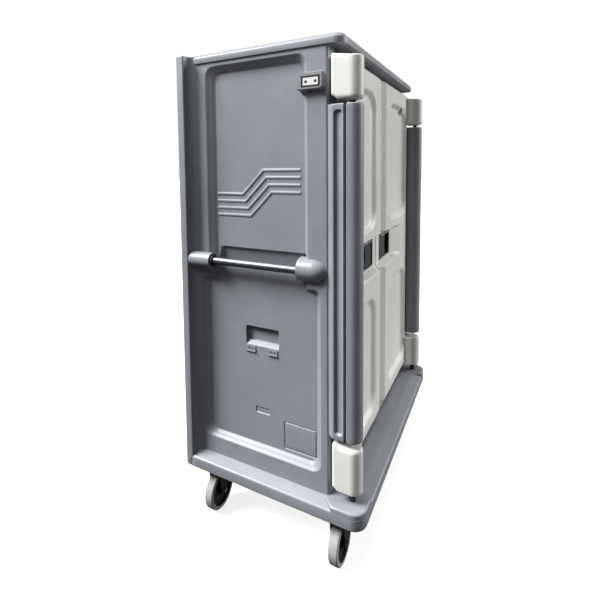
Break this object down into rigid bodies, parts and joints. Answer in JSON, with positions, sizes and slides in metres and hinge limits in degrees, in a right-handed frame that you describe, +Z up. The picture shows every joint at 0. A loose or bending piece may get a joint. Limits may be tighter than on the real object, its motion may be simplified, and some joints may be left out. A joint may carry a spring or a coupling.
{
  "type": "enclosed meal tray cart",
  "caption": "Tall enclosed cart for meal trays on casters, with two doors that swing back along the ends, recessed latches, push handles and a sloping bumper base.",
  "frame": {"origin": "bottom centre of the bounding box, on the floor between the casters", "axes": "+X towards the doors' side, -Y towards the end with the fixed casters, +Z up"},
  "size_m": [0.664, 1.084, 1.65],
  "materials": {
    "shell": "rotomoulded, fine satin grain",
    "door_shell": "rotomoulded, fine satin grain",
    "seal_rubber": "soft matt",
    "rail_steel": "brushed sheet",
    "handle_tube": "dark satin tube",
    "clip_plastic": "moulded",
    "black_plastic": "moulded, fine texture",
    "paddle_plastic": "moulded, satin",
    "bush_plastic": "bearing plastic",
    "pin_steel": "blackened steel",
    "fork_paint": "black powder coat",
    "wheel_core": "moulded core",
    "tyre_grey": "light grey non-marking tread",
    "zinc_steel": "zinc plated"
  },
  "bodies": {
    "cabinet": {"base_bumper": "shell", "end_wall_near": "shell", "end_wall_far": "shell", "back_panel": "shell", "roof": "shell", "cabinet_floor": "shell", "front_frame": "shell", "centre_partition": "shell", "tray_rails_near_outer": "rail_steel", "tray_rails_near_inner": "rail_steel", "tray_rails_far_inner": "rail_steel", "tray_rails_far_outer": "rail_steel", "handle_bar_near": "handle_tube", "handle_bar_far": "handle_tube", "handle_collars": "seal_rubber", "menu_clips": "clip_plastic", "magnet_holders": "black_plastic", "magnet_plates": "zinc_steel", "upper_hinge_pins": "pin_steel", "lower_hinge_pins": "pin_steel", "latch_strikes": "zinc_steel", "fixed_fork_back": "fork_paint", "fixed_fork_door": "fork_paint", "fixed_axles": "zinc_steel", "swivel_plates": "zinc_steel", "swivel_pins": "zinc_steel", "caster_bolts": "zinc_steel"},
    "door_near": {"door_near": "door_shell", "door_gasket_near": "seal_rubber", "hinge_bushes_near": "bush_plastic", "magnet_keeper_near": "zinc_steel", "latch_pan_near": "black_plastic", "latch_spring_near": "zinc_steel"},
    "latch_paddle_near": {"latch_paddle_near": "paddle_plastic"},
    "latch_tongue_near": {"latch_tongue_near": "zinc_steel"},
    "door_far": {"door_far": "door_shell", "door_gasket_far": "seal_rubber", "hinge_bushes_far": "bush_plastic", "magnet_keeper_far": "zinc_steel", "latch_pan_far": "black_plastic", "latch_spring_far": "zinc_steel"},
    "latch_paddle_far": {"latch_paddle_far": "paddle_plastic"},
    "latch_tongue_far": {"latch_tongue_far": "zinc_steel"},
    "wheel_near_back": {"wheel_near_back": "wheel_core", "tyre_near_back": "tyre_grey"},
    "swivel_back": {"swivel_fork_back": "fork_paint", "swivel_axle_back": "zinc_steel"},
    "wheel_far_back": {"wheel_far_back": "wheel_core", "tyre_far_back": "tyre_grey"},
    "brake_back": {"brake_pedal_back": "black_plastic"},
    "wheel_near_door": {"wheel_near_door": "wheel_core", "tyre_near_door": "tyre_grey"},
    "swivel_door": {"swivel_fork_door": "fork_paint", "swivel_axle_door": "zinc_steel"},
    "wheel_far_door": {"wheel_far_door": "wheel_core", "tyre_far_door": "tyre_grey"},
    "brake_door": {"brake_pedal_door": "black_plastic"}
  },
  "joints": [
    {"name": "door_near_swing", "type": "hinge", "parent": "cabinet", "child": "door_near", "pos_m": [0.281, -0.482, 0.24], "axis": [0, 0, -1], "range_deg": [0, 261]},
    {"name": "latch_paddle_near_pull", "type": "hinge", "parent": "door_near", "child": "latch_paddle_near", "pos_m": [0.216, -0.068, 0.922], "axis": [0, 0, 1], "range_deg": [0, 50], "stiffness_Nm_per_rad": 0.35, "springref_deg": -20.05},
    {"name": "latch_tongue_near_draw", "type": "slide", "parent": "door_near", "child": "latch_tongue_near", "axis": [1, 0, 0], "range_m": [0, 0.003], "deforming": ["latch_spring_near"]},
    {"name": "door_far_swing", "type": "hinge", "parent": "cabinet", "child": "door_far", "pos_m": [0.281, 0.482, 0.24], "axis": [0, 0, 1], "range_deg": [0, 261]},
    {"name": "latch_paddle_far_pull", "type": "hinge", "parent": "door_far", "child": "latch_paddle_far", "pos_m": [0.216, 0.068, 0.922], "axis": [0, 0, -1], "range_deg": [0, 50], "stiffness_Nm_per_rad": 0.35, "springref_deg": -20.05},
    {"name": "latch_tongue_far_draw", "type": "slide", "parent": "door_far", "child": "latch_tongue_far", "axis": [1, 0, 0], "range_m": [0, 0.003], "deforming": ["latch_spring_far"]},
    {"name": "wheel_near_back_roll", "type": "hinge", "parent": "cabinet", "child": "wheel_near_back", "pos_m": [-0.236, -0.471, 0.07], "axis": [1, 0, 0], "continuous": true},
    {"name": "caster_back_swivel", "type": "hinge", "parent": "cabinet", "child": "swivel_back", "pos_m": [-0.236, 0.43, 0.16], "axis": [0, 0, 1], "continuous": true},
    {"name": "wheel_far_back_roll", "type": "hinge", "parent": "swivel_back", "child": "wheel_far_back", "pos_m": [-0.236, 0.466, 0.07], "axis": [1, 0, 0], "continuous": true},
    {"name": "brake_back_press", "type": "hinge", "parent": "swivel_back", "child": "brake_back", "pos_m": [-0.236, 0.448, 0.1497], "axis": [-1, 0, 0], "range_deg": [0, 10]},
    {"name": "wheel_near_door_roll", "type": "hinge", "parent": "cabinet", "child": "wheel_near_door", "pos_m": [0.236, -0.471, 0.07], "axis": [1, 0, 0], "continuous": true},
    {"name": "caster_door_swivel", "type": "hinge", "parent": "cabinet", "child": "swivel_door", "pos_m": [0.236, 0.43, 0.16], "axis": [0, 0, 1], "continuous": true},
    {"name": "wheel_far_door_roll", "type": "hinge", "parent": "swivel_door", "child": "wheel_far_door", "pos_m": [0.236, 0.466, 0.07], "axis": [1, 0, 0], "continuous": true},
    {"name": "brake_door_press", "type": "hinge", "parent": "swivel_door", "child": "brake_door", "pos_m": [0.236, 0.448, 0.1497], "axis": [-1, 0, 0], "range_deg": [0, 10]}
  ],
  "couplings": [
    {"joint": "latch_tongue_near_draw", "follows": "latch_paddle_near_pull", "m_per_rad": 0.0034377},
    {"joint": "latch_tongue_far_draw", "follows": "latch_paddle_far_pull", "m_per_rad": 0.0034377}
  ]
}
